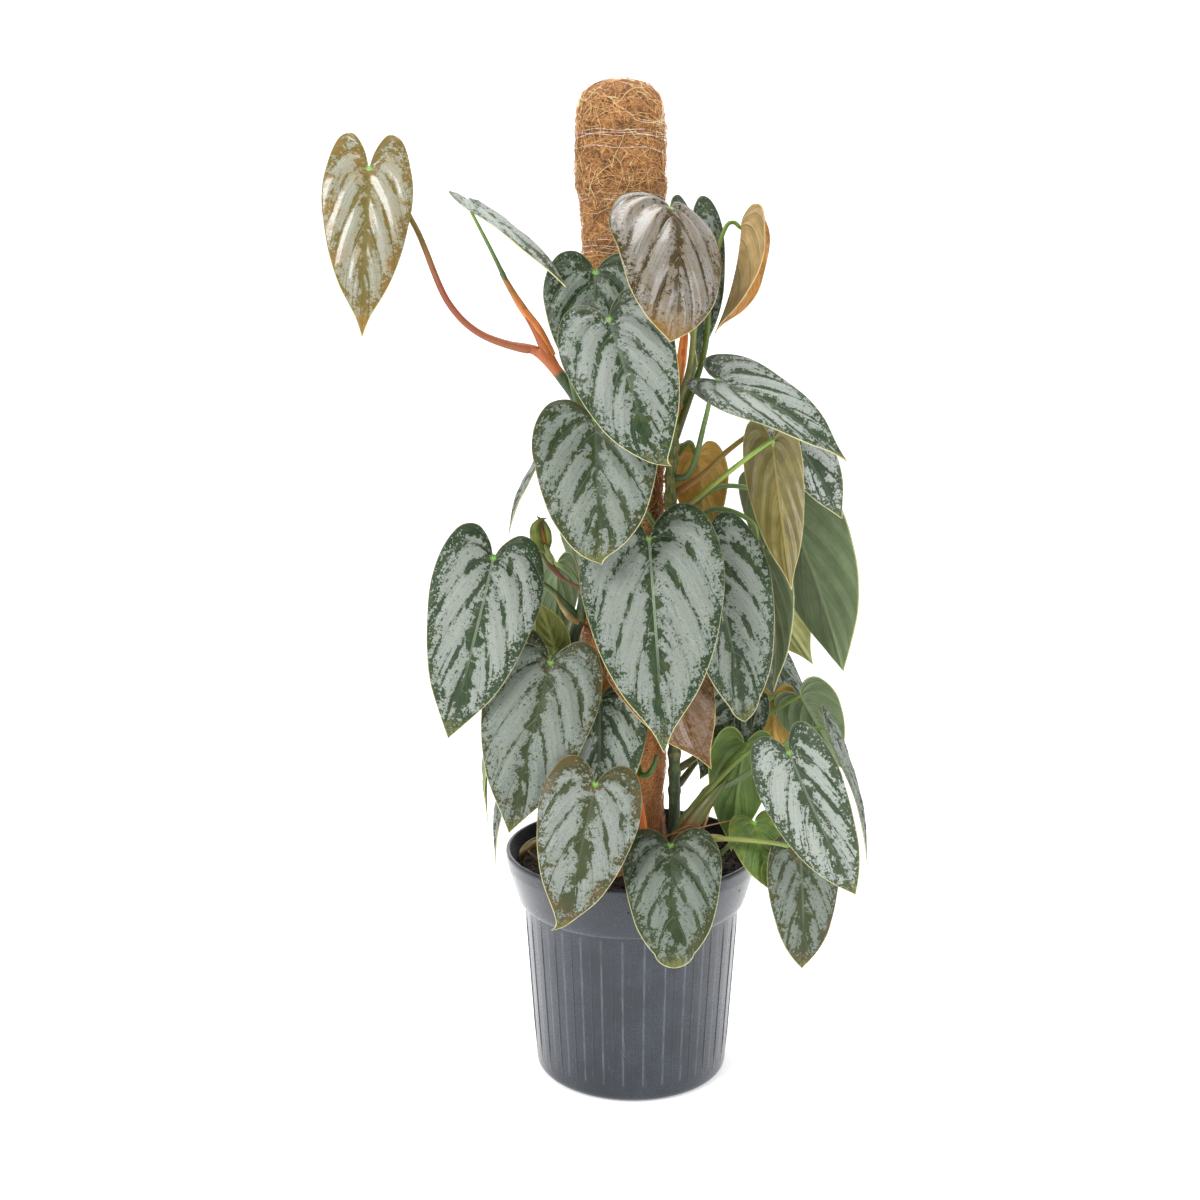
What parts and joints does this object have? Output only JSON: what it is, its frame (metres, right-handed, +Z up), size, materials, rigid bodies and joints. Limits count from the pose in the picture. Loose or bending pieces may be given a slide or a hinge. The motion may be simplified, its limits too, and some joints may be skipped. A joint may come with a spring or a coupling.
{
  "type": "potted silver leaf philodendron",
  "caption": "Climbing houseplant with heart-shaped silver and green leaves on a coir pole, growing in a ribbed round nursery pot.",
  "frame": {"origin": "centre of the underside of the pot, on the surface that it stands on", "axes": "+Z up along the pole, -Y towards the plant's front, +X to the right as seen from the front"},
  "size_m": [0.3887, 0.2362, 0.7301],
  "materials": {
    "pot": "satin injection-moulded plastic, dark blue-grey",
    "soil": "moist dark peat with bark crumbs",
    "pole_wood": "plain sawn stake",
    "coir": "matted coconut fibre bound with clear thread",
    "stem": "smooth green to olive stem",
    "leaf_silver": "glossy, silver panels between speckled dark green veins",
    "leaf_bronze": "very glossy, silver-bronze with olive brown veins",
    "leaf_young": "glossy, golden with silver panels",
    "leaf_underside": "satin grey-green underside",
    "leaf_fresh": "satin fresh green",
    "leaf_pale": "satin pale yellow-green",
    "sheath_orange": "smooth orange cataphyll",
    "sheath_dry": "dry papery tan"
  },
  "bodies": {
    "root": {"pot": "pot", "soil": "soil", "pole_core": "pole_wood", "pole_coir": "coir", "stem_left": "stem", "stem_right": "stem", "stem_low": "stem", "stem_back": "stem", "sheath_left": "sheath_orange", "sheath_right": "sheath_orange", "shoot_front": "sheath_orange", "dead_sheath": "sheath_dry", "withered_bud": "sheath_dry", "leaf_01": "leaf_young", "leaf_02": "leaf_underside", "leaf_03": "leaf_bronze", "leaf_04": "leaf_underside", "leaf_05": "leaf_young", "leaf_06": "leaf_silver", "leaf_07": "leaf_silver", "leaf_08": "leaf_silver", "leaf_09": "leaf_silver", "leaf_10": "leaf_silver", "leaf_11": "leaf_underside", "leaf_12": "leaf_young", "leaf_13": "leaf_silver", "leaf_14": "leaf_silver", "leaf_15": "leaf_underside", "leaf_16": "leaf_pale", "leaf_17": "leaf_silver", "leaf_18": "leaf_silver", "leaf_19": "leaf_silver", "leaf_20": "leaf_silver", "leaf_21": "leaf_silver", "leaf_22": "leaf_silver", "leaf_23": "leaf_silver", "leaf_24": "leaf_silver", "leaf_25": "leaf_underside", "leaf_26": "leaf_silver", "leaf_27": "leaf_young", "leaf_28": "leaf_bronze", "leaf_29": "leaf_silver", "leaf_30": "leaf_fresh", "leaf_31": "leaf_fresh", "leaf_32": "leaf_underside", "leaf_33": "leaf_fresh", "leaf_34": "leaf_silver", "leaf_35": "leaf_fresh", "leaf_36": "leaf_pale", "leaf_37": "leaf_young", "leaf_38": "leaf_silver", "leaf_39": "leaf_silver", "leaf_40": "leaf_silver", "leaf_41": "leaf_silver", "leaf_42": "leaf_silver", "leaf_43": "leaf_silver", "leaf_44": "leaf_silver"}
  },
  "joints": []
}
